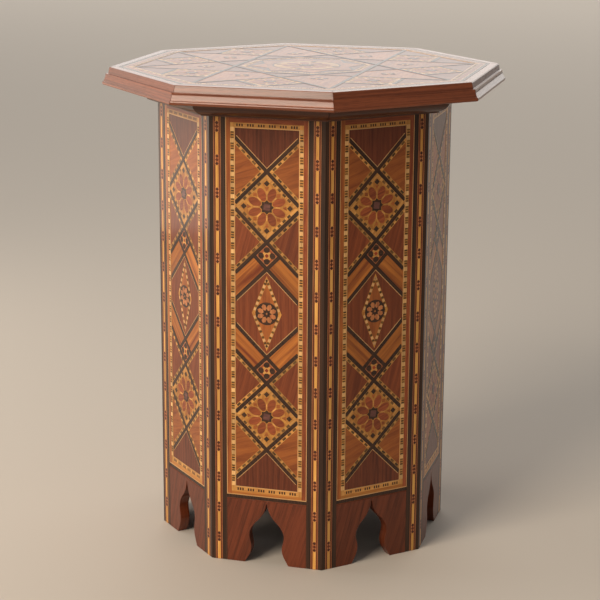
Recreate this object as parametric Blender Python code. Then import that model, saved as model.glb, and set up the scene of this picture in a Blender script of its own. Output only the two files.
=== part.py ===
"""Octagonal side table: eight mitred walnut boards with keel-arched feet carry an overhanging moulded top.

The boards are recessed for inlay: a marquetry sheet in the middle of each face and a banding along each
corner. A mitred ogee cornice hides the joint under the top. An octagonal frame inside the carcass ties
the boards together, and eight screws go up through it into the core board of the top.

Metres, +Z up. The origin is on the floor, on the table's axis. Side 1 faces -Y, and the sides are numbered
anticlockwise from above. Every side piece is modelled on side 1 and turned about the axis to its own side.
"""

from math import cos, pi, radians, sin, tan

import bmesh
import bpy
from mathutils import Matrix, Vector
from mathutils.geometry import interpolate_bezier

SIDES = 8
TURN = 2 * pi / SIDES
MITRE = TURN / 2

# Whole table
HEIGHT = 0.559
CARCASS_ACROSS_FLATS = 0.320
GAP = 0.0003  # glue line between any two pieces

# Side boards
BOARD_THICKNESS = 0.012
INLAY_THICKNESS = 0.0015
BANDING_WIDTH = 0.0187
WALNUT_OVER_ARCH = 0.0035  # from the arch's tip to the marquetry

# Keel arch cut in the foot of each board, as half widths and heights
ARCH_HEIGHT = 0.0735
ARCH_SPRING = 0.050  # where the keel curve starts
ARCH_BELLY = 0.035
ARCH_WAIST = 0.020
ARCH_FOOT_HALF_WIDTH = 0.0262
ARCH_WAIST_HALF_WIDTH = 0.0182
ARCH_BELLY_HALF_WIDTH = 0.0206
ARCH_SPRING_HALF_WIDTH = 0.0132
ARCH_TIP_HALF_WIDTH = 0.0004
ARCH_STEPS = 9  # points on each curve of the outline

# Cornice under the top
CORNICE_HEIGHT = 0.0170
CORNICE_DEPTH = 0.0245
CORNICE_FOOT_DEPTH = 0.0118
CORNICE_FILLET = 0.0040  # flat band along its upper edge
CORNICE_LIP = 0.0012  # flat band along its foot
CORNICE_STEPS = 10

# Top
TOP_THICKNESS = 0.0203
RIM_OVERHANG = 0.0588  # furthest edge of the moulding, beyond the carcass
EDGE_WIDTH = 0.0180  # depth of the moulding, from its rim back to the core
UPPER_EDGE_SETBACK = 0.0078  # top arris, in from the rim
UPPER_EDGE_LEAN = 0.0014  # how far the upper member's foot stands out from its arris
STEP_SETBACK = 0.0038
STEP_DROP = 0.0074  # depth of the upper member of the moulding
ARRIS_RADIUS = 0.0012
BEAD_HEIGHT = 0.0043  # round bead along the rim
BEAD_SETBACK = 0.0012  # quirk above the bead, in from the rim
EDGE_STEPS = 8

# Frame inside the carcass, and its screws
FRAME_THICKNESS = 0.015
FRAME_WIDTH = 0.040
SCREW_LENGTH = 0.025
SCREW_RADIUS = 0.002
SCREW_HEAD_RADIUS = 0.004
SCREW_HEAD_DEPTH = 0.0024
SCREW_POINT = 0.004
SCREW_INSET = 0.020  # from the boards' inner face to the screw's axis
SCREW_SEGMENTS = 20

# Worked out from the sizes above
FACE = CARCASS_ACROSS_FLATS / 2
BOARD_BACK = FACE - BOARD_THICKNESS
FACE_HALF_WIDTH = FACE * tan(MITRE)
INLAY_BACK = FACE - INLAY_THICKNESS
BANDING_INNER_EDGE = FACE_HALF_WIDTH - BANDING_WIDTH
APRON_HEIGHT = ARCH_HEIGHT + WALNUT_OVER_ARCH
TOP_UNDERSIDE = HEIGHT - TOP_THICKNESS
CARCASS_TOP = TOP_UNDERSIDE - GAP
RIM = FACE + RIM_OVERHANG
CORE_FACE = RIM - EDGE_WIDTH
CORE_TOP = HEIGHT - INLAY_THICKNESS - GAP
FRAME_OUTER = BOARD_BACK - GAP
FRAME_INNER = FRAME_OUTER - FRAME_WIDTH
FRAME_UNDERSIDE = CARCASS_TOP - FRAME_THICKNESS
SCREW_DISTANCE = BOARD_BACK - SCREW_INSET

CUT_MARGIN = 0.005  # how far a cutter runs past the piece that it cuts


def material(name, colour, roughness, metallic=0.0):
    made = bpy.data.materials.new(name)
    made.use_nodes = True
    shader = made.node_tree.nodes["Principled BSDF"]
    shader.inputs["Base Color"].default_value = (*colour, 1.0)
    shader.inputs["Roughness"].default_value = roughness
    shader.inputs["Metallic"].default_value = metallic
    return made


def mesh_from(name, points, faces):
    """A closed mesh with its faces turned outwards."""
    mesh = bpy.data.meshes.new(name)
    mesh.from_pydata(points, [], faces)
    shell = bmesh.new()
    shell.from_mesh(mesh)
    bmesh.ops.recalc_face_normals(shell, faces=shell.faces)
    shell.to_mesh(mesh)
    shell.free()
    return mesh


def place(name, mesh, finish, turn=0.0):
    made = bpy.data.objects.new(name, mesh)
    made.rotation_euler.z = turn
    bpy.context.collection.objects.link(made)
    if not mesh.materials:
        mesh.materials.append(finish)
    return made


def place_around(name, mesh, finish):
    """One object on each side of the table, sharing a mesh."""
    for side in range(SIDES):
        place(name.format(side + 1), mesh, finish, side * TURN)


def bridged(name, rings):
    """A closed mesh through rings of as many points each, capped at both ends."""
    count = len(rings[0])
    points = [point for ring in rings for point in ring]
    faces = [list(range(count)), list(range(len(points) - count, len(points)))]
    for start in range(0, len(points) - count, count):
        for i in range(count):
            j = (i + 1) % count
            faces.append([start + i, start + j, start + count + j, start + count + i])
    return mesh_from(name, points, faces)


def mitred_end(out):
    """Half a mitred piece's length at a distance out from the axis, less half a glue line at the corner."""
    return out * tan(MITRE) - GAP / 2 / cos(MITRE)


def mitred_length(name, profile):
    """A moulding along side 1. Its profile is a loop of (distance out from the axis, height)."""
    left = [(-mitred_end(out), -out, height) for out, height in profile]
    right = [(mitred_end(out), -out, height) for out, height in profile]
    return bridged(name, [left, right])


def extruded(name, outline, back, front):
    """A loop of (x, height) on side 1, between two distances out from the axis."""
    rings = [[(x, -out, height) for x, height in outline] for out in (back, front)]
    return bridged(name, rings)


def octagon(apothem, height):
    corner = apothem / cos(MITRE)
    angles = [(side + 0.5) * TURN for side in range(SIDES)]
    return [(corner * cos(angle), corner * sin(angle), height) for angle in angles]


def curve(start, start_handle, end_handle, end, steps):
    """Points of a Bezier curve in a profile's plane, both ends included."""
    knots = [Vector((*point, 0.0)) for point in (start, start_handle, end_handle, end)]
    return [(point.x, point.y) for point in interpolate_bezier(*knots, steps)]


def cut(piece, cutters):
    """Cuts the piece's mesh for good, so that copies can share it, and removes the cutters."""
    for cutter in cutters:
        boolean = piece.modifiers.new("cut", "BOOLEAN")
        boolean.operation = "DIFFERENCE"
        boolean.object = cutter
    graph = bpy.context.evaluated_depsgraph_get()
    whole = piece.data
    result = bpy.data.meshes.new_from_object(piece.evaluated_get(graph))
    result.name = piece.name
    piece.modifiers.clear()
    piece.data = result
    bpy.data.meshes.remove(whole)
    for cutter in cutters:
        bpy.data.objects.remove(cutter)
    return result


def arch_outline():
    """The keel arch: a foot that flares, a waist, a round belly and a hollow curve up to the tip."""
    foot = (ARCH_FOOT_HALF_WIDTH, 0.0)
    waist = (ARCH_WAIST_HALF_WIDTH, ARCH_WAIST)
    belly = (ARCH_BELLY_HALF_WIDTH, ARCH_BELLY)
    spring = (ARCH_SPRING_HALF_WIDTH, ARCH_SPRING)
    tip = (ARCH_TIP_HALF_WIDTH, ARCH_HEIGHT)
    rise = ARCH_SPRING - ARCH_BELLY
    keel_rise = ARCH_HEIGHT - ARCH_SPRING
    lean = 0.0032  # how far the handles of the spring reach, along a slope of 45 degrees
    flare = curve(
        foot,
        (foot[0] - 0.0018, ARCH_WAIST * 0.21),
        (waist[0], ARCH_WAIST * 0.55),
        waist,
        ARCH_STEPS,
    )
    swell = curve(
        waist,
        (waist[0], ARCH_WAIST + (ARCH_BELLY - ARCH_WAIST) * 0.33),
        (belly[0], ARCH_BELLY - (ARCH_BELLY - ARCH_WAIST) * 0.4),
        belly,
        ARCH_STEPS,
    )
    shoulder = curve(
        belly,
        (belly[0], ARCH_BELLY + rise * 0.37),
        (spring[0] + lean, ARCH_SPRING - lean),
        spring,
        ARCH_STEPS,
    )
    keel = curve(
        spring,
        (spring[0] - lean * 1.45, ARCH_SPRING + lean * 1.45),
        (tip[0] + 0.0014, ARCH_SPRING + keel_rise * 0.47),
        tip,
        ARCH_STEPS,
    )
    right = [(foot[0], -CUT_MARGIN), *flare, *swell[1:], *shoulder[1:], *keel[1:]]
    left = [(-x, height) for x, height in reversed(right)]
    return right + left


def make_side_boards(walnut):
    """Mitred boards with the arch cut out, recessed for the inlay beside the apron and above it."""
    profile = [(BOARD_BACK, 0.0), (FACE, 0.0), (FACE, CARCASS_TOP), (BOARD_BACK, CARCASS_TOP)]
    board = place("side_board_1", mitred_length("side_board", profile), walnut)
    wide = FACE_HALF_WIDTH + CUT_MARGIN
    apron = BANDING_INNER_EDGE - GAP / 2
    inlaid = [
        (-wide, -CUT_MARGIN),
        (-apron, -CUT_MARGIN),
        (-apron, APRON_HEIGHT),
        (apron, APRON_HEIGHT),
        (apron, -CUT_MARGIN),
        (wide, -CUT_MARGIN),
        (wide, HEIGHT),
        (-wide, HEIGHT),
    ]
    recess = place(
        "recess", extruded("recess", inlaid, INLAY_BACK - GAP, FACE + CUT_MARGIN), walnut
    )
    arch = place(
        "arch",
        extruded("arch", arch_outline(), BOARD_BACK - CUT_MARGIN, FACE + CUT_MARGIN),
        walnut,
    )
    mesh = cut(board, [recess, arch])
    bpy.data.objects.remove(board)
    place_around("side_board_{}", mesh, walnut)


def make_side_inlay(marquetry, banding_wood):
    """The marquetry sheet between the bandings, and the bandings, mitred at the table's corners."""
    panel_edge = BANDING_INNER_EDGE - GAP
    foot = APRON_HEIGHT + GAP
    panel = [
        (-panel_edge, foot),
        (panel_edge, foot),
        (panel_edge, CARCASS_TOP),
        (-panel_edge, CARCASS_TOP),
    ]
    sheet = extruded("side_marquetry", panel, INLAY_BACK, FACE)
    place_around("side_marquetry_{}", sheet, marquetry)
    for hand, way in (("left", -1), ("right", 1)):
        plan = [
            (way * BANDING_INNER_EDGE, -INLAY_BACK),
            (way * mitred_end(INLAY_BACK), -INLAY_BACK),
            (way * mitred_end(FACE), -FACE),
            (way * BANDING_INNER_EDGE, -FACE),
        ]
        rings = [[(x, y, height) for x, y in plan] for height in (GAP, CARCASS_TOP)]
        place_around("banding_{}_" + hand, bridged("banding_" + hand, rings), banding_wood)


def make_cornice(walnut):
    """An ogee moulding, hollow below and round above, glued to the inlaid faces under the top."""
    back = FACE + GAP
    foot = CARCASS_TOP - CORNICE_HEIGHT
    start = foot + CORNICE_LIP
    end = CARCASS_TOP - CORNICE_FILLET
    ogee = curve(
        (FACE + CORNICE_FOOT_DEPTH, start),
        (FACE + CORNICE_FOOT_DEPTH * 0.4 + CORNICE_DEPTH * 0.6, start + (end - start) * 0.25),
        (FACE + CORNICE_DEPTH, start + (end - start) * 0.55),
        (FACE + CORNICE_DEPTH, end),
        CORNICE_STEPS,
    )
    profile = [
        (back, foot),
        (FACE + CORNICE_FOOT_DEPTH, foot),
        *ogee,
        (FACE + CORNICE_DEPTH, CARCASS_TOP),
        (back, CARCASS_TOP),
    ]
    place_around("cornice_{}", mitred_length("cornice", profile), walnut)


def make_top_edge(walnut):
    """Mouldings that lip the core: a sloping upper member, a hollow flare below it and a bead on the rim."""
    back = CORE_FACE + GAP
    upright = RIM - UPPER_EDGE_SETBACK
    step = HEIGHT - STEP_DROP
    bead = TOP_UNDERSIDE + BEAD_HEIGHT
    arris = curve(
        (upright - ARRIS_RADIUS, HEIGHT),
        (upright - ARRIS_RADIUS * 0.4, HEIGHT),
        (upright, HEIGHT - ARRIS_RADIUS * 0.4),
        (upright, HEIGHT - ARRIS_RADIUS),
        EDGE_STEPS // 2,
    )
    flare = curve(
        (RIM - STEP_SETBACK, step),
        (RIM - STEP_SETBACK * 0.95, step - (step - bead) * 0.45),
        (RIM - BEAD_SETBACK * 1.9, bead + (step - bead) * 0.2),
        (RIM - BEAD_SETBACK, bead),
        EDGE_STEPS,
    )
    rim_bead = curve(
        (RIM - BEAD_SETBACK, bead),
        (RIM + BEAD_SETBACK / 3, bead),
        (RIM + BEAD_SETBACK / 3, TOP_UNDERSIDE),
        (RIM - BEAD_SETBACK, TOP_UNDERSIDE),
        EDGE_STEPS,
    )
    upper_foot = (upright + UPPER_EDGE_LEAN, step)
    profile = [(back, HEIGHT), *arris, upper_foot, *flare, *rim_bead[1:], (back, TOP_UNDERSIDE)]
    place_around("top_edge_{}", mitred_length("top_edge", profile), walnut)


def screw_profile(clearance=0.0, below=0.0):
    """Radius and height from the screw's head up, grown by a clearance and run out below for a cutter."""
    head = SCREW_HEAD_RADIUS + clearance
    shank = SCREW_RADIUS + clearance
    tip = SCREW_LENGTH + clearance
    return [
        (head, -below),
        (head, 0.0),
        (shank, SCREW_HEAD_DEPTH),
        (shank, tip - SCREW_POINT),
        (shank * 0.15, tip),
    ]


def screw_rings(profile):
    """The profile turned about an upright axis at the screw's place on side 1."""
    angles = [2 * pi * i / SCREW_SEGMENTS for i in range(SCREW_SEGMENTS)]
    return [
        [
            (radius * cos(angle), radius * sin(angle) - SCREW_DISTANCE, FRAME_UNDERSIDE + height)
            for angle in angles
        ]
        for radius, height in profile
    ]


def screw_hole_cutter(name, finish):
    """Every screw's hole in one cutter."""
    hole = bridged("hole", screw_rings(screw_profile(GAP, CUT_MARGIN)))
    holes = bmesh.new()
    for side in range(SIDES):
        holes.from_mesh(hole)
        new = holes.verts[-len(hole.vertices) :]
        bmesh.ops.rotate(holes, verts=new, matrix=Matrix.Rotation(side * TURN, 3, "Z"))
    mesh = bpy.data.meshes.new(name)
    holes.to_mesh(mesh)
    holes.free()
    bpy.data.meshes.remove(hole)
    return place(name, mesh, finish)


def make_top(walnut, marquetry):
    """The core board, drilled for the screws, and the inlaid sheet on it."""
    core = place(
        "top_board",
        bridged("top_board", [octagon(CORE_FACE, z) for z in (TOP_UNDERSIDE, CORE_TOP)]),
        walnut,
    )
    cut(core, [screw_hole_cutter("core_holes", walnut)])
    sheet = [octagon(CORE_FACE, z) for z in (HEIGHT - INLAY_THICKNESS, HEIGHT)]
    place("top_marquetry", bridged("top_marquetry", sheet), marquetry)


def make_top_frame(beech):
    """An octagonal ring flush with the top of the boards, drilled and countersunk for the screws."""
    outer = bridged("frame", [octagon(FRAME_OUTER, z) for z in (FRAME_UNDERSIDE, CARCASS_TOP)])
    frame = place("top_frame", outer, beech)
    well = [FRAME_UNDERSIDE - CUT_MARGIN, CARCASS_TOP + CUT_MARGIN]
    opening = place("opening", bridged("opening", [octagon(FRAME_INNER, z) for z in well]), beech)
    cut(frame, [opening, screw_hole_cutter("frame_holes", beech)])


def make_screws(steel):
    mesh = bridged("top_screw", screw_rings(screw_profile()))
    mesh.shade_smooth()
    mesh.set_sharp_from_angle(angle=radians(30))
    place_around("top_screw_{}", mesh, steel)


def main():
    for old in list(bpy.data.objects):
        bpy.data.objects.remove(old)
    walnut = material("walnut", (0.26, 0.09, 0.045), 0.25)
    marquetry = material("marquetry", (0.42, 0.17, 0.06), 0.2)
    banding_wood = material("banding_wood", (0.10, 0.055, 0.035), 0.2)
    beech = material("beech", (0.55, 0.38, 0.22), 0.6)
    steel = material("steel", (0.6, 0.6, 0.6), 0.35, 1.0)
    make_side_boards(walnut)
    make_side_inlay(marquetry, banding_wood)
    make_cornice(walnut)
    make_top_edge(walnut)
    make_top(walnut, marquetry)
    make_top_frame(beech)
    make_screws(steel)


main()
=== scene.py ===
"""Finish of an octagonal side table in wood marquetry: its veneers, bandings, mouldings and lacquer.

Row frame in metres, Z up, the foot of the table on Z = 0. Side 1 faces -Y, and the sides are numbered
anticlockwise from above. The veneers are drawn flat, in millimetres, and then set on their panel.
"""

import math
import random

import bpy
from mathutils import Euler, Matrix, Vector


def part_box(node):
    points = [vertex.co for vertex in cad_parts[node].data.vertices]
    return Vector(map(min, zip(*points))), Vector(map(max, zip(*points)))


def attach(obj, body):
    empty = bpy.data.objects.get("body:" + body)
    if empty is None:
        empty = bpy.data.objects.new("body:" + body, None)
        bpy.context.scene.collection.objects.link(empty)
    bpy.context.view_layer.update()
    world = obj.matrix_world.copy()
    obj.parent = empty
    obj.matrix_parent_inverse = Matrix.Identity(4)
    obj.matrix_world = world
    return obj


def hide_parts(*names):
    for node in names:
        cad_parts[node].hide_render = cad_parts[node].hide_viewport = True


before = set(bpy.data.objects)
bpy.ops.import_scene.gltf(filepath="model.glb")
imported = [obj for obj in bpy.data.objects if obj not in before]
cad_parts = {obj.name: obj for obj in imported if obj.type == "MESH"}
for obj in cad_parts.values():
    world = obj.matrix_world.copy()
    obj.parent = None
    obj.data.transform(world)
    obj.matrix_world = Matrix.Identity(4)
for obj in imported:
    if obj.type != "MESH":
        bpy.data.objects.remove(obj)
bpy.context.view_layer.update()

MM = 0.001
SIDES = 8
SIDE_TURN = 360 / SIDES
HALF_TURN = math.radians(SIDE_TURN / 2)

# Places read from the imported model
SHEET_LOW, SHEET_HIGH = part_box("side_marquetry_1")
BANDING_LOW, BANDING_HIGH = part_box("banding_1_right")
TOP_LOW, TOP_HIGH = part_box("top_marquetry")
FACE = -SHEET_LOW.y
CORNER = FACE * math.tan(HALF_TURN) / MM             # half a side's width, in millimetres
JOINT = (BANDING_LOW.x + SHEET_HIGH.x) / 2 / MM      # where a panel meets its bandings, likewise
INLAY_DEPTH = (SHEET_HIGH.y - SHEET_LOW.y) / MM
TOP_FIELD = TOP_HIGH.y / MM

# Veneers, in millimetres
VENEER = 0.6             # thickness of one tessera
LEVEL = 0.03             # what the lacquer leaves between one layer of tesserae and the next
TOP_LEVEL = 12           # the layer that ends flush with the face
GRAIN_SPREAD = 20000     # how far apart the veneers are cut from their wood
NEXT_SIDE = (1370, 830)  # how far along and across the wood the next side's veneers are cut
END_GRAIN = 0.9          # cosine to the grain beyond which a face is end grain
PORE_LENGTH = 14
PORE_WIDTH = 0.8         # the real pores are about 0.2 wide, and these are coarser so that they show
TONE_LENGTH = 420        # size of the slow change from one veneer to the next
TONE_WIDTH = 260

# One side panel, in millimetres: its heights above the floor, then sizes from its middle outwards
PANEL_FOOT = 82.0
PANEL_MIDDLE = 300.55
PANEL_HEAD = 520.4
WHITE_LINE = 0.7
FRAME_BAND = 4.9
MOSAIC_BAND = 4.5
FIELD_HALF_WIDTH = JOINT - WHITE_LINE - FRAME_BAND - MOSAIC_BAND - WHITE_LINE
FIELD_HALF_HEIGHT = 207.15
FOOT_LINE = 0.4         # padauk line along the sheet's lower edge

# Blocks of the mosaic bands, in groups of three
BLOCK_PITCH = 2.9
BLOCK_GROUP = 12.45
GROUPS_UP = 33
GROUPS_ACROSS = 6
PALE_BLOCK = 5.0

# Straps, and where they cross on the panel's middle line
STRAP = 4.3
OUTER_CROSSING = 160.8
INNER_CROSSING = 81.5
CHEVRON_POINT = 51.2
STRAP_REACH = FIELD_HALF_WIDTH * math.sqrt(2)
DASH_STRIP = 3.5
DASH_PITCH = 8.5
DASH = 5.0
DASH_SHARE = 0.72       # of its strip's width
FIRST_DASH = 6.5        # from the strap's edge

# Lozenges between the crossings
FLOWER_HALF = (OUTER_CROSSING - INNER_CROSSING) / 2
FLOWER_MIDDLE = (OUTER_CROSSING + INNER_CROSSING) / 2
SMALL_HALF = (INNER_CROSSING - CHEVRON_POINT) / 2
SMALL_MIDDLE = (INNER_CROSSING + CHEVRON_POINT) / 2
LOZENGE_HALF_WIDTH = 17.3
LOZENGE_HALF_HEIGHT = 43.5
LOZENGE_BAND = 3.5

# One corner banding, in millimetres: its lines from the corner inwards, up to the dark one that fills it
BANDING_LINES = (
    ("ebonised", 4.8),
    ("pearwood", 0.6),
    ("rosewood", 1.2),
    ("walnut", 4.8),
    ("rosewood", 1.2),
    ("pearwood", 0.6),
)
BEAD_LINE = 3           # the line that the beads and long dashes are set in
BEADS = 14
BEAD_PITCH = 36.97
BEAD_HEIGHT = 28.0      # of the lowest bead's middle above the floor
BEAD_LENGTH = 12.2
LONG_DASH = 24.8
BEAD_BUD = 4.1          # from one bud of a bead to the next

# The top, in millimetres: the widths of its border's rings from the outside in, then its star
TOP_LINE = 0.8
TOP_MOSAIC = 4.7
TOP_BLOCK = 3.3
TOP_RINGS = (
    ("ebonised", 4.5),
    ("holly", TOP_LINE),
    ("padauk", 5.0),
    ("lemonwood", TOP_MOSAIC),
    ("holly", TOP_LINE),
)
STAR_FIELD = TOP_FIELD - sum(width for wood_name, width in TOP_RINGS)
STAR_CORNER = STAR_FIELD / math.cos(HALF_TURN)
STAR_STRAP = STAR_CORNER * math.cos(3 * HALF_TURN)   # from the middle out to the straps
BAY = STAR_STRAP * math.sqrt(2)                      # from the middle out to the foot of each bay
SMALL_LOZENGE_OUT = 40                               # from the straps out to the small lozenges
TRIM = 0.3                                           # how far a bay's veneers lap the border
STAR_BORDER = 6.5                                    # plain border inside the star's straps
ROUND = 80                                           # across the round under the middle flower
ROUND_RING = 2                                       # width of its dark edge

shuffle = random.Random(11)


# ------------------------------------------------------------------ bench tools


def pick_up(piece):
    """Selects this piece alone."""
    bpy.ops.object.select_all(action="DESELECT")
    piece.select_set(True)
    bpy.context.view_layer.objects.active = piece
    return piece


def duplicate(piece):
    """The same piece again, with a mesh of its own."""
    copy = piece.copy()
    copy.data = piece.data.copy()
    bpy.context.collection.objects.link(copy)
    return copy


def settle(piece):
    """Puts the piece's place, turn and scale into its mesh."""
    pick_up(piece)
    bpy.ops.object.transform_apply(location=True, rotation=True, scale=True)
    return piece


def tile_height(level):
    """The height, in metres, of the middle of a tessera whose face lies on a level."""
    return ((level - TOP_LEVEL) * LEVEL - VENEER / 2) * MM


def lath(across, along, x, y, level, turn=0.0):
    """A strip of veneer, across by along millimetres before its turn in degrees, its middle at x, y."""
    bpy.ops.mesh.primitive_cube_add(
        size=MM,
        location=(x * MM, y * MM, tile_height(level)),
        rotation=(0, 0, math.radians(turn)),
        scale=(across, along, VENEER),
    )
    return settle(bpy.context.object)


def core(across, along, x, y):
    """The ground that the tesserae of a panel are glued on, as deep as the inlay."""
    depth = INLAY_DEPTH - TOP_LEVEL * LEVEL
    bpy.ops.mesh.primitive_cube_add(
        size=MM,
        location=(x * MM, y * MM, (depth / 2 - INLAY_DEPTH) * MM),
        scale=(across, along, depth),
    )
    return settle(bpy.context.object)


def tile(corners, wide, high, x, y, level, turn=0.0):
    """A tessera of so many corners, the first of them straight up before its turn in degrees."""
    bpy.ops.mesh.primitive_cylinder_add(
        vertices=corners,
        radius=MM / 2,
        depth=MM,
        location=(x * MM, y * MM, tile_height(level)),
        rotation=(0, 0, math.radians(turn)),
        scale=(wide, high, VENEER),
    )
    return settle(bpy.context.object)


def saw(piece, *cuts, lean=0.0):
    """Saws the piece along lines: each cut is a point in millimetres and the direction of the waste.

    lean tips the saw, by how much the waste's direction rises."""
    pick_up(piece)
    bpy.ops.object.mode_set(mode="EDIT")
    for x, y, waste_x, waste_y in cuts:
        bpy.ops.mesh.select_all(action="SELECT")
        bpy.ops.mesh.bisect(
            plane_co=(x * MM, y * MM, 0),
            plane_no=(waste_x, waste_y, lean),
            use_fill=True,
            clear_outer=True,
            threshold=1e-6,
        )
    bpy.ops.object.mode_set(mode="OBJECT")
    return piece


def apply_modifier(piece, kind, settings):
    """Adds one modifier to the piece and applies it."""
    modifier = piece.modifiers.new(kind.title(), kind)
    for name, value in settings.items():
        setattr(modifier, name, value)
    pick_up(piece)
    bpy.ops.object.modifier_apply(modifier=modifier.name)
    return piece


def repeat(piece, count, step_x, step_y):
    """Lays the piece count times, a step in millimetres apart."""
    settings = {
        "count": count,
        "use_relative_offset": False,
        "use_constant_offset": True,
        "constant_offset_displace": (step_x * MM, step_y * MM, 0),
    }
    return apply_modifier(piece, "ARRAY", settings)


def mirror(piece, across_x=True, across_y=True):
    """Lays the piece again on the other side of the middle, to the side, end for end, or both."""
    settings = {"use_axis": (across_x, across_y, False), "use_mirror_merge": False}
    return apply_modifier(piece, "MIRROR", settings)


def turned_copies(piece, count, first=0.0):
    """Lays the piece count times around the middle, the first one turned by so many degrees."""
    copies = []
    for number in range(count):
        copy = duplicate(piece)
        copy.rotation_euler.z = math.radians(first + 360 / count * number)
        copies.append(settle(copy))
    bpy.data.objects.remove(piece)
    return join(copies)


def moved(piece, x=0.0, y=0.0, turn=0.0):
    """Turns the piece about the middle, then moves it."""
    piece.rotation_euler.z = math.radians(turn)
    piece.location = (x * MM, y * MM, 0)
    return settle(piece)


def join(pieces, name=None):
    """Makes the pieces one object."""
    bpy.ops.object.select_all(action="DESELECT")
    for piece in pieces:
        piece.select_set(True)
    bpy.context.view_layer.objects.active = pieces[0]
    if len(pieces) > 1:
        bpy.ops.object.join()
    if name:
        pieces[0].name = name
        pieces[0].data.name = name
    return pieces[0]


def loose_parts(mesh):
    """The loose part that each corner point belongs to."""
    part = list(range(len(mesh.vertices)))

    def first(point):
        while part[point] != point:
            part[point] = part[part[point]]
            point = part[point]
        return point

    for edge in mesh.edges:
        a, b = edge.vertices
        part[first(a)] = first(b)
    return [first(point) for point in range(len(part))]


def lay_grain(piece, direction):
    """Lays the grain along a direction: a UV map in millimetres, along the grain and across it.

    Each loose part is a veneer of its own, cut from another place, so that its tone and figure differ."""
    mesh = piece.data
    uv = mesh.uv_layers.get("grain") or mesh.uv_layers.new(name="grain")
    part = loose_parts(mesh)
    cut_from = {}
    along = Vector(direction).normalized()
    for face in mesh.polygons:
        root = part[face.vertices[0]]
        if root not in cut_from:
            cut_from[root] = (shuffle.uniform(0, GRAIN_SPREAD), shuffle.uniform(0, GRAIN_SPREAD))
        shift = cut_from[root]
        run = along
        if abs(face.normal.dot(along)) > END_GRAIN:
            run = face.normal.orthogonal().normalized()
        side = face.normal.cross(run).normalized()
        for corner in face.loop_indices:
            place = mesh.vertices[mesh.loops[corner].vertex_index].co / MM
            uv.data[corner].uv = (place.dot(run) + shift[0], place.dot(side) + shift[1])
    return piece


def heading(degrees):
    """The flat direction at so many degrees from X."""
    angle = math.radians(degrees)
    return (math.cos(angle), math.sin(angle), 0)


def veneer(piece, wood, degrees):
    """Gives the drawn piece its wood, with the grain at an angle."""
    piece.data.materials.clear()
    piece.data.materials.append(wood)
    return lay_grain(piece, heading(degrees))


# ------------------------------------------------------------------ woods and metal


def hex_colour(code):
    """An sRGB hex colour as the linear numbers that a shader takes."""
    values = [int(code[i : i + 2], 16) / 255 for i in (1, 3, 5)]
    linear = [v / 12.92 if v <= 0.04045 else ((v + 0.055) / 1.055) ** 2.4 for v in values]
    return (*linear, 1.0)


def add_node(tree, kind, settings=None, links=None):
    """Adds a node with its settings, by property or input, and its inputs' links."""
    node = tree.nodes.new(kind)
    for key, value in (settings or {}).items():
        if isinstance(key, str) and hasattr(node, key):
            setattr(node, key, value)
        else:
            node.inputs[key].default_value = value
    for key, source in (links or {}).items():
        tree.links.new(source, node.inputs[key])
    return node


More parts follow.
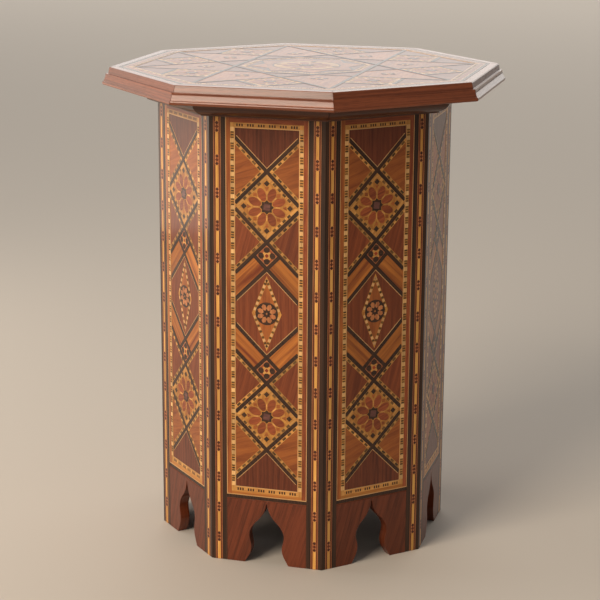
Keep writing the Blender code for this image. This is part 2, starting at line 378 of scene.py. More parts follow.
def wood(name, light, dark, streak=3.0, length=60.0, tone=0.25, pores=0.35, lacquer=0.58, rough=0.42):
    """A lacquered wood. streak and length are the size of its figure in millimetres, tone how far one
    veneer is from the next, and pores how dark its open grain is."""
    material = bpy.data.materials.new(name)
    material.use_nodes = True
    tree = material.node_tree
    tree.nodes.clear()
    grain = add_node(tree, "ShaderNodeUVMap", {"uv_map": "grain"}).outputs["UV"]
    figure_place = add_node(
        tree, "ShaderNodeMapping", {"Scale": (1 / length, 1 / streak, 1)}, {"Vector": grain}
    )
    figure = add_node(
        tree,
        "ShaderNodeTexNoise",
        {"Scale": 1.0, "Detail": 5.0, "Roughness": 0.62, "Distortion": 0.5},
        {"Vector": figure_place.outputs["Vector"]},
    )
    pore_place = add_node(
        tree, "ShaderNodeMapping", {"Scale": (1 / PORE_LENGTH, 1 / PORE_WIDTH, 1)}, {"Vector": grain}
    )
    pore = add_node(
        tree,
        "ShaderNodeTexNoise",
        {"Scale": 1.0, "Detail": 2.0, "Roughness": 0.5},
        {"Vector": pore_place.outputs["Vector"]},
    )
    open_grain = add_node(
        tree,
        "ShaderNodeMapRange",
        {"From Min": 0.52, "From Max": 0.72, "To Min": 1.0, "To Max": 1.0 - pores},
        {"Value": pore.outputs["Fac"]},
    )
    # One veneer to the next: the map jumps by metres between veneers, so this hardly changes within one
    tone_place = add_node(
        tree, "ShaderNodeMapping", {"Scale": (1 / TONE_LENGTH, 1 / TONE_WIDTH, 1)}, {"Vector": grain}
    )
    own_tone = add_node(
        tree, "ShaderNodeTexNoise", {"Scale": 1.0, "Detail": 0.0}, {"Vector": tone_place.outputs["Vector"]}
    )
    own_value = add_node(
        tree,
        "ShaderNodeMapRange",
        {"From Min": 0.3, "From Max": 0.7, "To Min": 1.0 - tone, "To Max": 1.0 + tone},
        {"Value": own_tone.outputs["Fac"]},
    )
    value = add_node(
        tree,
        "ShaderNodeMath",
        {"operation": "MULTIPLY"},
        {0: own_value.outputs["Result"], 1: open_grain.outputs["Result"]},
    )
    ramp = add_node(tree, "ShaderNodeValToRGB", None, {"Fac": figure.outputs["Fac"]})
    ramp.color_ramp.elements[0].position = 0.32
    ramp.color_ramp.elements[0].color = hex_colour(dark)
    ramp.color_ramp.elements[1].position = 0.62
    ramp.color_ramp.elements[1].color = hex_colour(light)
    colour = add_node(
        tree,
        "ShaderNodeHueSaturation",
        None,
        {"Color": ramp.outputs["Color"], "Value": value.outputs["Value"]},
    )
    surface = add_node(
        tree,
        "ShaderNodeMapRange",
        {"From Min": 0.3, "From Max": 0.7, "To Min": rough - 0.06, "To Max": rough + 0.08},
        {"Value": pore.outputs["Fac"]},
    )
    bump = add_node(
        tree,
        "ShaderNodeBump",
        {"Strength": 0.12, "Distance": 0.0002},
        {"Height": open_grain.outputs["Result"]},
    )
    shader = add_node(
        tree,
        "ShaderNodeBsdfPrincipled",
        {
            "IOR": 1.5,
            "Specular IOR Level": 0.1,
            "Coat Weight": lacquer,
            "Coat Roughness": 0.1,
            "Coat IOR": 1.5,
        },
        {
            "Base Color": colour.outputs["Color"],
            "Roughness": surface.outputs["Result"],
            "Normal": bump.outputs["Normal"],
        },
    )
    add_node(tree, "ShaderNodeOutputMaterial", None, {"Surface": shader.outputs["BSDF"]})
    return material


def make_woods():
    """The woods of the marquetry, each under the same thin clear lacquer."""
    return {
        # Walnut, the solid wood of the apron and mouldings: red-brown with long dark figure
        "walnut": wood("walnut", "#74371e", "#522512", streak=4.5, length=110, tone=0.1, pores=0.3),
        # The mouldings of the rim, in the same walnut rubbed to a full gloss, its colour painted lighter and
        # more orange: partly the rim's lighter wood, partly painted sheen that warms the rim's highlight
        "sheen_lightened_walnut": wood("sheen_lightened_walnut", "#8e4c2d", "#623019", streak=3, length=160, lacquer=0.8),
        # The same walnut, stained, of the cornice and of the bandings' outer buds
        "dark_walnut": wood("dark_walnut", "#522b17", "#36180c", streak=4, length=110, tone=0.1, pores=0.3),
        # Ebonised veneer of the straps and dark bands: nearly black brown, in narrow streaks
        "ebonised": wood("ebonised", "#472c1b", "#22130b", streak=1.8, length=150, tone=0.15, pores=0.25),
        # Rosewood of the end triangles and of the bandings' lines: deep red-brown, finely figured
        "rosewood": wood("rosewood", "#74391f", "#4c2010", streak=3.2, length=120, tone=0.12),
        # Apricot wood of the orange triangles, the borders and the top's star: broadly figured
        "apricot": wood("apricot", "#a9602a", "#80401c", streak=7, length=70, tone=0.14, pores=0.2),
        # Mahogany of the middle, the inner side triangles and the top's grounds: plainer and redder
        "mahogany": wood("mahogany", "#854221", "#662d15", streak=3.6, length=130, tone=0.14, pores=0.25),
        # Olivewood of the bands between straps: yellow sapwood running into red heart
        "olivewood": wood("olivewood", "#b9702e", "#6e2f13", streak=7, length=160, tone=0.12, pores=0.15),
        # Padauk of the petals, of the frame's head and right-hand upright, and of the top's border; at the
        # head, in place of the foot's amber, it is partly painted shade from the cornice
        "padauk": wood("padauk", "#9a4f29", "#743219", streak=2.4, length=30, tone=0.2, pores=0.2),
        # Redheart of the smallest diamonds
        "redheart": wood("redheart", "#a3401f", "#7c2a13", streak=2, length=30, tone=0.1, pores=0.1),
        # Purpleheart of the flowers' middles: dull violet brown
        "purpleheart": wood("purpleheart", "#744a40", "#4a2a2a", streak=2, length=20, tone=0.15, pores=0.2),
        # Smoked oak of the small dashes and blocks: olive brown, no two alike
        "smoked_oak": wood("smoked_oak", "#755228", "#432a12", streak=2, length=20, tone=0.5, pores=0.2),
        # Amber-coloured satinwood of the frame's foot
        "amber": wood("amber", "#c5833c", "#a56128", streak=3, length=90, tone=0.1, pores=0.15),
        # Satinwood of the long dashes in the bandings: bright gold
        "satinwood": wood("satinwood", "#e3ab5c", "#c4853c", streak=2.5, length=60, tone=0.16, pores=0.1),
        # Pearwood of the medallion's segments and of the bandings' lines and beads: pink and even
        "pearwood": wood("pearwood", "#c68250", "#9c5630", streak=2.4, length=40, tone=0.16, pores=0.1),
        # Lemonwood of the mosaic strips: golden, with no two strips alike
        "lemonwood": wood("lemonwood", "#d39a52", "#a96d32", streak=3, length=30, tone=0.28, pores=0.15),
        # Boxwood of the flowers' grounds: a duller yellow, running to orange
        "boxwood": wood("boxwood", "#c58a40", "#9c5f28", streak=6, length=12, tone=0.15, pores=0.15),
        # Maple of the mosaic's palest blocks
        "maple": wood("maple", "#e2b577", "#c49056", streak=2, length=20, tone=0.25, pores=0.1),
        # Holly of the fine lines and the cream tesserae: pale and even
        "holly": wood("holly", "#dcae76", "#c28c56", streak=2, length=40, tone=0.14, pores=0.1),
        # Beech of the hidden frame under the top: raw and pale, with no lacquer
        "beech": wood("beech", "#c9a177", "#b0855c", streak=2.5, length=50, tone=0.05, lacquer=0, rough=0.62),
    }


def make_steel():
    """Zinc-plated steel of the screws: bright grey, slightly cloudy."""
    material = bpy.data.materials.new("zinc_plated_steel")
    material.use_nodes = True
    tree = material.node_tree
    tree.nodes.clear()
    place = add_node(tree, "ShaderNodeTexCoord").outputs["Object"]
    # Zinc spangle of about 1 mm
    cloud = add_node(tree, "ShaderNodeTexNoise", {"Scale": 1000.0, "Detail": 2.0}, {"Vector": place})
    colour = add_node(
        tree,
        "ShaderNodeMix",
        {"data_type": "RGBA", 6: hex_colour("#a9abab"), 7: hex_colour("#c6c7c4")},
        {0: cloud.outputs["Fac"]},
    )
    rough = add_node(
        tree,
        "ShaderNodeMapRange",
        {"To Min": 0.26, "To Max": 0.42},
        {"Value": cloud.outputs["Fac"]},
    )
    shader = add_node(
        tree,
        "ShaderNodeBsdfPrincipled",
        {"Metallic": 1.0},
        {"Base Color": colour.outputs[2], "Roughness": rough.outputs["Result"]},
    )
    add_node(tree, "ShaderNodeOutputMaterial", None, {"Surface": shader.outputs["BSDF"]})
    return material


# ------------------------------------------------------------------ marquetry, drawn flat


def along_strap(width, length, level):
    """A lath beside a strap that runs up from the middle, mitred to meet one beside a strap to the right."""
    return saw(lath(width, length, (STRAP + width) / 2, length / 2, level), (0, 0, 1, -1))


def dash_row(width, length, level):
    """Dark dashes for a lath that along_strap lays."""
    piece = lath(DASH_SHARE * width, DASH, (STRAP + width) / 2, STRAP / 2 + FIRST_DASH, level)
    return repeat(piece, int((length - FIRST_DASH) / DASH_PITCH), 0, DASH_PITCH)


def blocks(across, groups, x, y, level, upright=True, block=1.7):
    """Groups of three blocks in a row, upright or level, that has its middle at x, y."""
    start = -((groups - 1) * BLOCK_GROUP / 2 + BLOCK_PITCH)
    if upright:
        piece = lath(across, block, x, y + start, level)
        repeat(piece, 3, 0, BLOCK_PITCH)
        return repeat(piece, groups, 0, BLOCK_GROUP)
    piece = lath(block, across, x + start, y, level)
    repeat(piece, 3, BLOCK_PITCH, 0)
    return repeat(piece, groups, BLOCK_GROUP, 0)


def petal(level, size):
    """One petal of a flower, straight up from the middle: narrow at its root and round at its tip."""
    wide, long, root = 9.3 * size, 15.6 * size, 7.2 * size
    foot = 0.19 * wide
    piece = tile(14, wide, long, 0, root + long / 2, level)
    taper = math.radians(25)
    for hand in (1, -1):
        saw(piece, (hand * foot, root, hand * math.cos(taper), -math.sin(taper)))
    return piece


def flower(level, size=1.0):
    """The eight-petalled flower of a big lozenge, about the middle."""
    # Each tile's corners, width and height, then how far out it lies before it is laid all round
    bead = tile(4, 6.9 * size, 6.9 * size, 0, 26.6 * size, level + 1)
    bud = tile(4, 3.4 * size, 7.0 * size, 0, 12.6 * size, level)
    cap = tile(3, 7.0 * size, 5.6 * size, 0, 21.0 * size, level, 60)
    leaf = tile(4, 5.4 * size, 6.0 * size, 0, 19.2 * size, level)
    star, heart = 16.2 * size, 10.4 * size
    return [
        veneer(turned_copies(petal(level + 1, size), 8, SIDE_TURN / 2), woods["padauk"], 20),
        veneer(turned_copies(bead, 4), woods["ebonised"], 90),
        veneer(turned_copies(bud, 8), woods["lemonwood"], 0),
        veneer(turned_copies(cap, 4), woods["apricot"], 0),
        veneer(turned_copies(leaf, 4, SIDE_TURN), woods["apricot"], 0),
        veneer(tile(4, star, star, 0, 0, level + 2), woods["ebonised"], 90),
        veneer(tile(4, star, star, 0, 0, level + 3, 45), woods["ebonised"], 0),
        veneer(tile(4, heart, heart, 0, 0, level + 4, 38), woods["purpleheart"], 0),
    ]


def flower_lozenge(level):
    """A big lozenge about the middle: its ground, the dashed strips inside its edges, and its flower."""
    side = FLOWER_HALF * math.sqrt(2)
    middle = side / 2 - STRAP / 2 - DASH_STRIP / 2
    ground = tile(4, 2 * FLOWER_HALF, 2 * FLOWER_HALF, 0, 0, level)
    strip = saw(lath(DASH_STRIP, side, middle, 0, level + 1), (0, 0, -1, 1), (0, 0, -1, -1))
    dashes, dash, pitch = 4, 4.4, 7.8
    row = lath(0.8 * DASH_STRIP, dash, middle, (1 - dashes) / 2 * pitch, level + 2)
    repeat(row, dashes, 0, pitch)
    made = [
        veneer(ground, woods["boxwood"], 90),
        veneer(turned_copies(strip, 4, 45), woods["lemonwood"], 45),
        veneer(turned_copies(row, 4, 45), woods["smoked_oak"], 45),
    ]
    return join(made + flower(level + 1))


def small_lozenge(level):
    """The little lozenge between the big ones: four dark buds about a golden square with a red heart."""
    bud = tile(8, 7.6, 6.8, 0, 6.6, level + 3, 22.5)
    made = [
        veneer(tile(4, 25.0, 25.0, 0, 0, level), woods["pearwood"], 45),
        veneer(tile(4, 22.2, 22.2, 0, 0, level + 1), woods["padauk"], 45),
        veneer(lath(8.6, 8.6, 0, 0, level + 2), woods["lemonwood"], 0),
        veneer(tile(4, 4.8, 4.8, 0, 0, level + 4), woods["redheart"], 0),
        veneer(turned_copies(bud, 4), woods["ebonised"], 0),
    ]
    return join(made)


def medallion(level):
    """The round medallion in the middle of a panel: eight pale segments on a dark disc, and a dark hub."""
    segment = tile(6, 5.7, 7.8, 0, 7.7, level + 1)
    return [
        veneer(tile(24, 26.4, 26.4, 0, 0, level), woods["ebonised"], 0),
        veneer(turned_copies(segment, 8, SIDE_TURN / 2), woods["pearwood"], 90),
        veneer(tile(8, 7.6, 7.6, 0, 0, level + 2), woods["ebonised"], 90),
        veneer(tile(4, 2.6, 2.6, 0, 0, level + 3), woods["pearwood"], 0),
    ]


def middle_lozenge(level):
    """The tall lozenge in the middle of a panel, with its mosaic edge and its medallion."""
    width, height = LOZENGE_HALF_WIDTH, LOZENGE_HALF_HEIGHT
    edge = math.hypot(width, height)
    inset = 1 - LOZENGE_BAND * edge / (width * height)
    slope = math.degrees(math.atan2(width, height))
    inward = LOZENGE_BAND / 2 / edge
    pitch = 7.1
    rows = []
    for count, long, wood_name in ((6, 3.2, "holly"), (5, 2.4, "smoked_oak")):
        row = lath(LOZENGE_BAND - 0.5, long, 0, (1 - count) / 2 * pitch, level + 2)
        repeat(row, count, 0, pitch)
        moved(row, width / 2 - height * inward, height / 2 - width * inward, slope)
        rows.append(veneer(mirror(row), woods[wood_name], 90))
    made = [
        veneer(tile(4, 2 * width, 2 * height, 0, 0, level), woods["boxwood"], 90),
        veneer(tile(4, 2 * width * inset, 2 * height * inset, 0, 0, level + 1), woods["apricot"], 90),
    ]
    return made + rows + medallion(level + 3)


def panel_grounds():
    """The broad veneers of a panel's field, each cut to the middle lines of the straps."""
    edge = FIELD_HALF_WIDTH + WHITE_LINE / 2
    end = FIELD_HALF_HEIGHT + WHITE_LINE / 2
    outer, inner, point = OUTER_CROSSING, INNER_CROSSING, CHEVRON_POINT
    end_piece = lath(2 * edge, end - outer, 0, (end + outer) / 2, 1)
    saw(end_piece, (0, outer, 1, -1), (0, outer, -1, -1))
    outer_side = lath(edge, 2 * edge, edge / 2, outer, 1)
    saw(outer_side, (0, outer, -1, 1), (0, outer, -1, -1))
    inner_side = lath(edge, 2 * edge, edge / 2, inner, 1)
    saw(inner_side, (0, inner, -1, 1), (0, inner, -1, -1))
    chevrons = []
    for hand in (1, -1):
        chevron = lath(edge, inner, hand * edge / 2, inner / 2, 1)
        saw(chevron, (0, inner, hand, 1), (0, point, -hand, -1), (0, point, -hand, 1))
        chevrons.append(veneer(turned_copies(chevron, 2), woods["olivewood"], -45 * hand))
    middle = saw(tile(4, 2 * point, 2 * point, 0, 0, 1), (edge, 0, 1, 0), (-edge, 0, -1, 0))
    return [
        veneer(mirror(end_piece, across_x=False), woods["rosewood"], 90),
        veneer(mirror(outer_side), woods["apricot"], 20),
        veneer(mirror(inner_side), woods["mahogany"], 75),
        veneer(middle, woods["mahogany"], 90),
        *chevrons,
    ]


def panel_straps():
    """The dark straps that cross the field, with the dashed strips and the pale lines beside them."""
    made = []
    for crossing in (OUTER_CROSSING, INNER_CROSSING):
        for turn, level in ((45, 7), (-45, 8)):
            strap = lath(STRAP, 2 * STRAP_REACH, 0, crossing, level, turn)
            made.append(veneer(mirror(strap, across_x=False), woods["ebonised"], turn + 90))
        strip = mirror(moved(along_strap(DASH_STRIP, STRAP_REACH, 2), turn=-45))
        made.append(veneer(mirror(moved(strip, y=crossing), across_x=False), woods["lemonwood"], 45))
        row = mirror(moved(dash_row(DASH_STRIP, STRAP_REACH, 3), turn=-45))
        made.append(veneer(mirror(moved(row, y=crossing), across_x=False), woods["smoked_oak"], 45))
    # The straps of the middle run from the outer straps beside the small lozenges to the panel's frame
    near, far = SMALL_HALF, FIELD_HALF_WIDTH
    length = (near + far) * math.sqrt(2) + STRAP
    inner_strap = lath(STRAP, length, (far - near) / 2, CHEVRON_POINT - (far - near) / 2, 6, 45)
    mirror(inner_strap, across_x=False)
    made.append(veneer(inner_strap, woods["ebonised"], -45))
    other_strap = lath(STRAP, length, (near - far) / 2, CHEVRON_POINT - (far - near) / 2, 5, -45)
    mirror(other_strap, across_x=False)
    made.append(veneer(other_strap, woods["ebonised"], 45))
    for apex, turn in ((OUTER_CROSSING, 45), (CHEVRON_POINT, -135)):
        line = mirror(moved(along_strap(WHITE_LINE, STRAP_REACH, 3), turn=turn), across_y=False)
        made.append(veneer(mirror(moved(line, y=apex), across_x=False), woods["holly"], 45))
    return made


def panel_frame():
    """The frame around the field: its rings from the outside in, with square joints."""
    made = []
    middle = (PANEL_HEAD + PANEL_FOOT) / 2
    edge, start, finish = JOINT, PANEL_FOOT, PANEL_HEAD
    # Each ring's woods at the left, the right, the foot and the head; its widths at the sides, foot and head
    rings = (
        ("holly", "holly", "holly", "holly", WHITE_LINE, 1.0, 0.9),
        # The head's padauk, redder and darker than the foot's amber, is partly painted shade under the
        # cornice
        ("apricot", "padauk", "amber", "padauk", FRAME_BAND, 3.8, 5.4),
        ("lemonwood", "lemonwood", "lemonwood", "lemonwood", MOSAIC_BAND, 5.4, 5.1),
        ("holly", "holly", "holly", "holly", WHITE_LINE, WHITE_LINE, WHITE_LINE),
    )
    for left_wood, right_wood, foot_wood, head_wood, width, foot, head in rings:
        for hand, upright_wood in ((-1, left_wood), (1, right_wood)):
            x = hand * (edge - width / 2)
            upright = lath(width, finish - start, x, (start + finish) / 2, 9)
            made.append(veneer(upright, woods[upright_wood], 90))
            if width == MOSAIC_BAND:
                pale = lath(MOSAIC_BAND, PALE_BLOCK, x, middle - GROUPS_UP / 2 * BLOCK_GROUP, 10)
                made.append(veneer(repeat(pale, GROUPS_UP + 1, 0, BLOCK_GROUP), woods["maple"], 90))
                groups = blocks(MOSAIC_BAND - 0.9, GROUPS_UP, x, middle, 10, block=1.9)
                made.append(veneer(groups, woods["smoked_oak"], 0))
        edge -= width
        bars = ((start + foot / 2, foot, foot_wood), (finish - head / 2, head, head_wood))
        for at, thick, bar_wood in bars:
            made.append(veneer(lath(2 * edge, thick, 0, at, 9), woods[bar_wood], 0))
            if width == MOSAIC_BAND:
                dark = blocks(thick - 2.2, GROUPS_ACROSS, 0, at, 10, upright=False)
                made.append(veneer(dark, woods["ebonised"], 90))
        start += foot
        finish -= head
    return made


def make_panel():
    """Side 1's marquetry panel, flat, its height in the drawing being its height on the side."""
    low, high = SHEET_LOW.z / MM, SHEET_HIGH.z / MM
    backing = core(2 * JOINT, high - low, 0, (low + high) / 2)
    made = panel_grounds() + panel_straps() + middle_lozenge(2)
    for y, piece in ((FLOWER_MIDDLE, flower_lozenge(1)), (SMALL_MIDDLE, small_lozenge(2))):
        upper = duplicate(piece)
        made += [moved(piece, y=-y), moved(upper, y=y, turn=180)]
    field = moved(join(made), y=PANEL_MIDDLE)
    made = [veneer(backing, woods["ebonised"], 90), field]
    made += panel_frame()
    made.append(veneer(lath(2 * JOINT, FOOT_LINE, 0, low + FOOT_LINE / 2, 9), woods["padauk"], 0))
    return join(made)


def make_banding():
    """Side 1's right corner banding, flat, its height in the drawing being its height on the side."""
    low, high = BANDING_LOW.z / MM, BANDING_HIGH.z / MM
    height, middle = high - low, (low + high) / 2
    backing = core(CORNER - JOINT, height, (CORNER + JOINT) / 2, middle)
    made = [veneer(backing, woods["ebonised"], 90)]
    edge = CORNER
    filler = CORNER - JOINT - sum(width for wood_name, width in BANDING_LINES)
    for number, (wood_name, width) in enumerate((*BANDING_LINES, ("ebonised", filler))):
        made.append(veneer(lath(width, height, edge - width / 2, middle, 10), woods[wood_name], 90))
        if number == BEAD_LINE:
            x = edge - width / 2
        edge -= width
    # Long dashes and beads of three small lozenges take turns from the foot to the cornice
    dash = lath(3.5, LONG_DASH, x, BEAD_HEIGHT - BEAD_PITCH / 2, 11)
    repeat(dash, BEADS + 1, 0, BEAD_PITCH)
    saw(dash, (x, low, 0, -1), (x, high, 0, 1))
    made.append(veneer(dash, woods["satinwood"], 90))
    bead = lath(4.6, BEAD_LENGTH, x, BEAD_HEIGHT, 11)
    made.append(veneer(repeat(bead, BEADS, 0, BEAD_PITCH), woods["pearwood"], 90))
    buds = ((-1, 4.2, "dark_walnut"), (0, 4.7, "rosewood"), (1, 4.2, "dark_walnut"))
    for number, wide, wood_name in buds:
        bud = tile(4, wide, 4.2, x, BEAD_HEIGHT + number * BEAD_BUD, 12)
        made.append(veneer(repeat(bud, BEADS, 0, BEAD_PITCH), woods[wood_name], 90))
    return saw(join(made), (CORNER, 0, 1, 0), lean=-math.tan(HALF_TURN))


# ------------------------------------------------------------------ the top, drawn flat


def octagon_ring(width, outer, level):
    """Eight mitred laths around an octagon, its outer flats so far from its middle."""
    bar = lath(2 * outer, width, 0, outer - width / 2, level)
    across, up = math.cos(HALF_TURN), -math.sin(HALF_TURN)
    saw(bar, (0, 0, across, up), (0, 0, -across, up))
    return turned_copies(bar, SIDES)


def top_backing():
    """The ground that the top's tesserae are glued on."""
    depth = (TOP_HIGH.z - TOP_LOW.z) / MM
    bpy.ops.mesh.primitive_cylinder_add(
        vertices=SIDES,
        radius=TOP_FIELD * MM / math.cos(HALF_TURN),
        depth=(depth - TOP_LEVEL * LEVEL) * MM,
        location=(0, 0, -(depth + TOP_LEVEL * LEVEL) / 2 * MM),
        rotation=(0, 0, HALF_TURN),
    )
    return [veneer(settle(bpy.context.object), woods["ebonised"], 0)]


def octagon_blocks(groups, middle, level):
    """Rows of dark blocks around an octagon, their middle lines so far from its middle."""
    row = blocks(TOP_BLOCK, groups, 0, middle, level, upright=False)
    return veneer(turned_copies(row, SIDES), woods["ebonised"], 90)


def top_border():
    """The rings of the border, from the outside in, with dark blocks on the mosaic one."""
    made = []
    outer = TOP_FIELD
    for wood_name, width in TOP_RINGS:
        made.append(veneer(octagon_ring(width, outer, 10), woods[wood_name], 0))
        outer -= width
    made.append(octagon_blocks(12, outer + TOP_LINE + TOP_MOSAIC / 2, 11))
    return made


def top_straps():
    """Straps from every corner of the field to the third one along, which leave an octagon in the middle."""
    made = []
    length = 2 * STAR_CORNER * math.sin(3 * HALF_TURN) - 2
    for number in range(SIDES):
        strap = lath(length, STRAP, 0, STAR_STRAP, 6 + number % 4)
        strap = moved(strap, turn=number * SIDE_TURN)
        made.append(veneer(strap, woods["ebonised"], number * SIDE_TURN))
    return made


def top_bays():
    """The bays between the points of the star: their grounds, and a flower lozenge in each."""
    ground = lath(2 * STAR_FIELD, STAR_FIELD - BAY, 0, (STAR_FIELD + BAY) / 2, 1)
    saw(ground, (0, BAY, 1, -1), (0, BAY, -1, -1))
    made = [veneer(turned_copies(ground, SIDES), woods["mahogany"], 0)]
    gusset = lath(2 * BAY, BAY - STAR_STRAP, 0, (BAY + STAR_STRAP) / 2, 1)
    saw(gusset, (0, BAY, 1, 1), (0, BAY, -1, 1))
    made.append(veneer(turned_copies(gusset, SIDES), woods["mahogany"], 90))
    lozenge = moved(flower_lozenge(2), y=BAY + FLOWER_HALF)
    saw(lozenge, (0, STAR_FIELD + TRIM, 0, 1))
    made.append(turned_copies(lozenge, SIDES))
    strap = lath(STRAP, FLOWER_HALF * math.sqrt(2), FLOWER_HALF / 2, BAY + 1.5 * FLOWER_HALF, 6, 45)
    mirror(strap, across_y=False)
    saw(strap, (0, STAR_FIELD + TRIM, 0, 1))
    made.append(veneer(turned_copies(strap, SIDES), woods["ebonised"], 45))
    return made


def top_points():
    """The points of the star, each sawn to the straps about it, and a small lozenge in each."""
    length = STAR_CORNER - STAR_STRAP
    point = lath(2 * BAY * math.sin(HALF_TURN), length, 0, STAR_STRAP + length / 2, 1)
    cuts = []
    for angle, side in ((3 * HALF_TURN, 1), (-3 * HALF_TURN, 1), (HALF_TURN, -1), (-HALF_TURN, -1)):
        x, y = math.sin(angle), math.cos(angle)
        cuts.append((STAR_STRAP * x, STAR_STRAP * y, side * x, side * y))
    saw(point, *cuts)
    made = [veneer(turned_copies(point, SIDES, SIDE_TURN / 2), woods["apricot"], 90)]
    lozenge = moved(small_lozenge(2), y=STAR_STRAP + SMALL_LOZENGE_OUT)
    made.append(turned_copies(lozenge, SIDES, SIDE_TURN / 2))
    return made


def top_middle():
    """The middle octagon: its border, two crossed squares in two woods, and a big flower on a round."""
    ring = STAR_STRAP
    made = [veneer(octagon_ring(STAR_BORDER, ring, 2), woods["mahogany"], 0)]
    ring -= STAR_BORDER
    made.append(veneer(octagon_ring(TOP_LINE, ring, 3), woods["holly"], 0))
    ring -= TOP_LINE
    made.append(veneer(octagon_ring(TOP_MOSAIC, ring, 3), woods["lemonwood"], 0))
    made.append(octagon_blocks(4, ring - TOP_MOSAIC / 2, 4))
    ring -= TOP_MOSAIC
    across = 2 * ring / math.cos(HALF_TURN)
    made.append(veneer(tile(SIDES, across, across, 0, 0, 1, SIDE_TURN / 2), woods["rosewood"], 0))
    for level, size, wood_name in ((2, across, "ebonised"), (4, across - 9, "apricot")):
        for number in (0, 1):
            square = tile(4, size, size, 0, 0, level + number, SIDE_TURN * (number + 0.5))
            made.append(veneer(square, woods[wood_name], 90))
    made.append(veneer(tile(32, ROUND, ROUND, 0, 0, 6), woods["ebonised"], 0))
    inside = ROUND - 2 * ROUND_RING
    made.append(veneer(tile(32, inside, inside, 0, 0, 7), woods["lemonwood"], 0))
    return made + flower(8, 1.25)


def make_top_panel():
    """The marquetry of the top, flat: an eight-pointed star of straps in a border."""
    made = top_backing() + top_border() + top_straps() + top_bays() + top_points() + top_middle()
    return join(made)


# ------------------------------------------------------------------ solid pieces


def cut_to_model(node, grain, wood, edge=0.4):
    """A piece of the model's own shape, its flat faces made whole and its edges eased, with its grain."""
    piece = bpy.data.objects.new(node + "_finished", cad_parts[node].data.copy())
    bpy.context.collection.objects.link(piece)
    pick_up(piece)
    bpy.ops.mesh.customdata_custom_splitnormals_clear()
    bpy.ops.object.mode_set(mode="EDIT")
    bpy.ops.mesh.select_all(action="SELECT")
    bpy.ops.mesh.remove_doubles(threshold=1e-6)
    bpy.ops.mesh.dissolve_limited(angle_limit=math.radians(0.5))
    bpy.ops.object.mode_set(mode="OBJECT")
    settings = {"width": edge * MM, "segments": 2, "limit_method": "ANGLE", "angle_limit": math.radians(40)}
    apply_modifier(piece, "BEVEL", settings)
    pick_up(piece)
    bpy.ops.object.shade_smooth_by_angle(angle=math.radians(35))
    # The broad faces stay flat, and only the eased edges between them are shaded round
    apply_modifier(piece, "WEIGHTED_NORMAL", {"mode": "FACE_AREA", "weight": 100, "keep_sharp": True})
    piece.data.materials.clear()
    piece.data.materials.append(wood)
    return lay_grain(piece, grain)


# ------------------------------------------------------------------ the table put together


def hand_in(piece, name, slot, *nodes):
    """Names the piece and ties it to the model: what it rides on and what it stands for. Its slot is not
    used.
    """
    piece.name = name
    piece.data.name = name
    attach(piece, "root")
    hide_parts(*nodes)


def stand_up(piece):
    """Stands a flat drawing up as side 1, its face outwards."""
    piece.rotation_euler.x = math.radians(90)
    piece.location.y = -FACE
    return settle(piece)


def hand_in_all_round(piece, name, slot, node):
    """Sets a piece of side 1 on all eight sides; {} in the names stands for the side's number."""
    for side in range(1, SIDES + 1):
        copy = duplicate(piece)
        copy.rotation_euler.z = math.radians(SIDE_TURN * (side - 1))
        settle(copy)
        grain = copy.data.uv_layers["grain"]
        for corner in grain.data:
            corner.uv += Vector(NEXT_SIDE) * (side - 1)
        hand_in(copy, name.format(side), slot, node.format(side))
    bpy.data.objects.remove(piece)


def make_table():
    """Every piece of the table, in the place of the model's own."""
    panel = stand_up(make_panel())
    hand_in_all_round(panel, "marquetry_panel_{}", "marquetry", "side_marquetry_{}")
    right = stand_up(make_banding())
    left = duplicate(right)
    left.scale.x = -1
    settle(left)
    pick_up(left)
    bpy.ops.object.mode_set(mode="EDIT")
    bpy.ops.mesh.select_all(action="SELECT")
    bpy.ops.mesh.normals_make_consistent(inside=False)
    bpy.ops.object.mode_set(mode="OBJECT")
    hand_in_all_round(right, "corner_banding_{}_right", "inlay_banding", "banding_{}_right")
    hand_in_all_round(left, "corner_banding_{}_left", "inlay_banding", "banding_{}_left")
    board = cut_to_model("side_board_1", (0.3, 0, 1), woods["walnut"])
    hand_in_all_round(board, "carcass_board_{}", "walnut", "side_board_{}")
    cornice = cut_to_model("cornice_1", (1, 0, 0), woods["dark_walnut"])
    hand_in_all_round(cornice, "cornice_moulding_{}", "walnut", "cornice_{}")
    # The rim's lighter, more orange walnut is partly painted sheen
    rim = cut_to_model("top_edge_1", (1, 0, 0), woods["sheen_lightened_walnut"], 0.2)
    hand_in_all_round(rim, "rim_moulding_{}", "walnut", "top_edge_{}")
    top = make_top_panel()
    top.location.z = TOP_HIGH.z
    hand_in(settle(top), "top_marquetry_panel", "marquetry", "top_marquetry")
    hand_in(cut_to_model("top_board", (1, 0, 0), woods["beech"]), "top_core_board", "beech", "top_board")
    hand_in(cut_to_model("top_frame", (1, 0, 0), woods["beech"]), "top_fixing_frame", "beech", "top_frame")
    for number in range(1, SIDES + 1):
        screw = cut_to_model(f"top_screw_{number}", (0, 0, 1), steel, 0.1)
        hand_in(screw, f"fixing_screw_{number}", "steel", f"top_screw_{number}")


# ------------------------------------------------------------------ studio


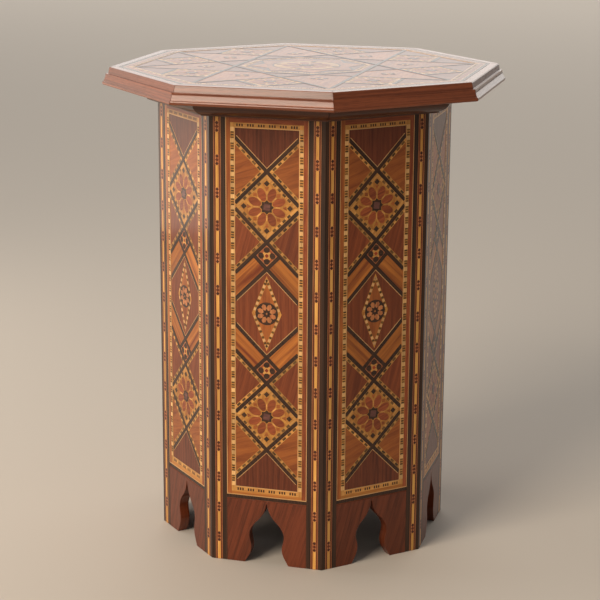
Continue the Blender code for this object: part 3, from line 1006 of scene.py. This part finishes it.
def make_floor():
    """A wide pale floor."""
    bpy.ops.mesh.primitive_plane_add(size=60, location=(0, 0, 0))
    floor = bpy.context.object
    floor.name = "studio_floor"
    material = bpy.data.materials.new("pale_painted_floor")
    material.use_nodes = True
    shader = material.node_tree.nodes["Principled BSDF"]
    shader.inputs["Base Color"].default_value = hex_colour("#cac1b5")
    shader.inputs["Roughness"].default_value = 0.7
    floor.data.materials.append(material)


def add_softbox(name, place, aim, width, height, power, colour):
    """A soft light of so many watts at a place, turned to what it lights."""
    light = bpy.data.lights.new(name, "AREA")
    light.shape = "RECTANGLE"
    light.size = width
    light.size_y = height
    light.energy = power
    light.color = hex_colour(colour)[:3]
    lamp = bpy.data.objects.new(name, light)
    bpy.context.collection.objects.link(lamp)
    lamp.location = place
    lamp.visible_camera = False
    lamp.rotation_euler = (Vector(aim) - Vector(place)).to_track_quat("-Z", "Y").to_euler()


def make_studio():
    """A soft studio: the key light from the front left, two fills at the left and a pale wall far behind."""
    world = bpy.data.worlds.new("studio")
    world.use_nodes = True
    world.node_tree.nodes["Background"].inputs["Color"].default_value = hex_colour("#f4f1ee")
    world.node_tree.nodes["Background"].inputs["Strength"].default_value = 0.21
    bpy.context.scene.world = world
    table = (0, 0, 0.32)
    add_softbox("key", (-1.3, -2.55, 2.0), table, 1.7, 1.9, 100, "#fff0dd")
    add_softbox("left_panel", (-1.45, 0.4, 0.6), (0, 0, 0.45), 0.9, 1.1, 4, "#ffeedd")
    add_softbox("left_window", (-2.6, -0.2, 1.5), table, 1.4, 1.6, 14, "#ffffff")
    add_softbox("pale_wall", (0.2, 8.0, 4.2), (0.2, 0, 2.9), 18, 8, 570, "#fff9f2")
    bpy.context.scene.view_settings.view_transform = "Standard"


def make_camera():
    """A long lens a little to the right of side 1, looking slightly down."""
    swing, pitch, roll = math.radians(15.636), math.radians(75.284), math.radians(0.338)
    lens = bpy.data.cameras.new("camera")
    lens.lens = 105.45
    lens.sensor_width = 36
    camera = bpy.data.objects.new("camera", lens)
    bpy.context.collection.objects.link(camera)
    camera.location = (0.546, -1.973, 0.814)
    aim = Euler((0, 0, swing)).to_matrix() @ Euler((pitch, 0, 0)).to_matrix()
    camera.rotation_euler = (aim @ Euler((0, 0, roll)).to_matrix()).to_euler()
    bpy.context.scene.camera = camera


woods = make_woods()
steel = make_steel()
make_table()
make_floor()
make_studio()
make_camera()
